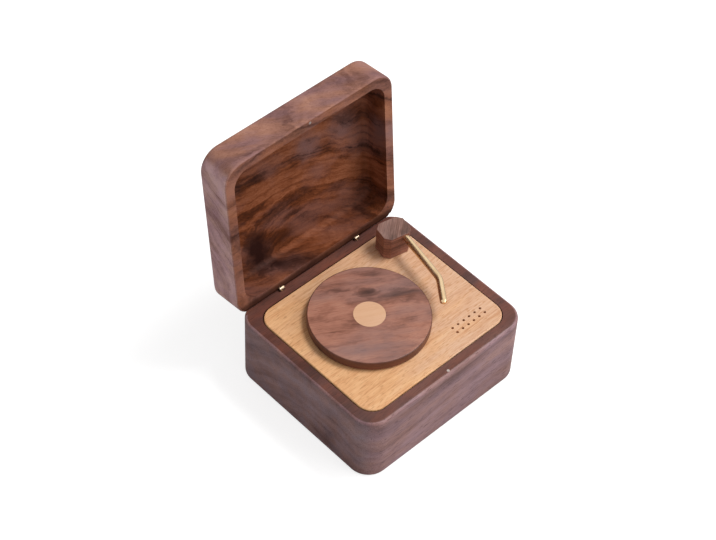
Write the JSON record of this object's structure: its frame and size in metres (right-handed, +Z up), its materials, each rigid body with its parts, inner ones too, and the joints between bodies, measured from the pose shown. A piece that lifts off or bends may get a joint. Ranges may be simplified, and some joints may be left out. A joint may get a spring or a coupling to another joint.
{
  "type": "disc music box",
  "caption": "Small walnut music box made like a record player: hinged lid, beech deck, turning wooden platter and swinging brass tonearm over a cylinder-and-comb movement.",
  "frame": {"origin": "centre of the base's flat underside", "axes": "+X to the right seen from the front, +Y towards the hinges, +Z up; the lid stands open on its bevels"},
  "size_m": [0.095, 0.1079, 0.1198],
  "materials": {
    "walnut_base": "oiled walnut, closed grain, satin",
    "walnut_lid": "oiled figured walnut, satin",
    "walnut_platter": "oiled walnut, satin",
    "walnut_post": "oiled walnut end piece, satin",
    "beech_deck": "light beech with short dark flecks, matt",
    "beech_label": "light beech, smooth, matt",
    "brass_rod": "turned and polished brass",
    "brass_hinge": "machined brass",
    "brass_part": "machined brass",
    "steel_part": "plain steel, light oil",
    "comb_steel": "hardened steel, ground",
    "spring_steel": "blued spring steel",
    "housing_steel": "plated pressed steel",
    "cast_plate": "as cast, light alloy",
    "magnet": "nickel plated magnet",
    "fan_plastic": "moulded, pale"
  },
  "bodies": {
    "case": {"base_case": "walnut_base", "deck_plate": "beech_deck", "catch_magnet_base": "magnet", "hinge_barrel_base_left": "brass_hinge", "hinge_barrel_base_right": "brass_hinge", "bedplate": "cast_plate", "bedplate_screws": "steel_part", "spring_housing": "housing_steel", "mainspring": "spring_steel", "comb": "comb_steel", "comb_screws": "steel_part", "arbor_bush": "brass_part", "governor_bracket": "steel_part", "bracket_screw": "steel_part", "pivot_bush": "brass_part"},
    "lid": {"lid_shell": "walnut_lid", "catch_magnet_lid": "magnet", "hinge_barrel_lid_left": "brass_hinge", "hinge_barrel_lid_right": "brass_hinge", "hinge_pin_left": "steel_part", "hinge_pin_right": "steel_part"},
    "turntable": {"platter": "walnut_platter", "platter_label": "beech_label", "platter_hub": "brass_part", "hub_screws": "steel_part", "winding_arbor": "steel_part", "arbor_clip": "steel_part", "crown_wheel": "brass_part", "ratchet_wheel": "steel_part", "click_pawl": "steel_part"},
    "cylinder": {"cylinder_drum": "brass_part", "drum_end_caps": "brass_part", "cylinder_shaft": "steel_part", "cylinder_pinion": "steel_part", "cylinder_gear": "brass_part"},
    "idler": {"idler_shaft": "steel_part", "idler_pinion": "steel_part", "worm_wheel": "brass_part"},
    "governor": {"governor_worm": "steel_part", "governor_fan": "fan_plastic"},
    "tonearm": {"arm_post": "walnut_post", "tonearm_rod": "brass_rod", "arm_pivot_pin": "steel_part", "pivot_washer": "brass_part", "pivot_nut": "steel_part", "stop_lever": "steel_part"}
  },
  "joints": [
    {"name": "lid_hinge", "type": "hinge", "parent": "case", "child": "lid", "pos_m": [0, 0.0405, 0.03707], "axis": [1, 0, 0], "range_deg": [0, 95.75]},
    {"name": "platter_spin", "type": "hinge", "parent": "case", "child": "turntable", "pos_m": [-0.00695, 0.00087, 0.0425], "axis": [0, 0, 1], "continuous": true},
    {"name": "cylinder_spin", "type": "hinge", "parent": "case", "child": "cylinder", "pos_m": [0.01785, 0.00087, 0.01586], "axis": [1, 0, 0], "continuous": true},
    {"name": "idler_spin", "type": "hinge", "parent": "case", "child": "idler", "pos_m": [0.03065, 0.01087, 0.01586], "axis": [1, 0, 0], "continuous": true},
    {"name": "governor_spin", "type": "hinge", "parent": "case", "child": "governor", "pos_m": [0.0344, 0.01712, 0.01586], "axis": [0, 0, 1], "continuous": true},
    {"name": "arm_swing", "type": "hinge", "parent": "case", "child": "tonearm", "pos_m": [0.0307, 0.0255, 0.0477], "axis": [0, 0, 1], "range_deg": [-24, 8]}
  ],
  "couplings": [
    {"joint": "cylinder_spin", "follows": "platter_spin", "ratio": -3},
    {"joint": "idler_spin", "follows": "platter_spin", "ratio": 9},
    {"joint": "governor_spin", "follows": "platter_spin", "ratio": -180}
  ]
}
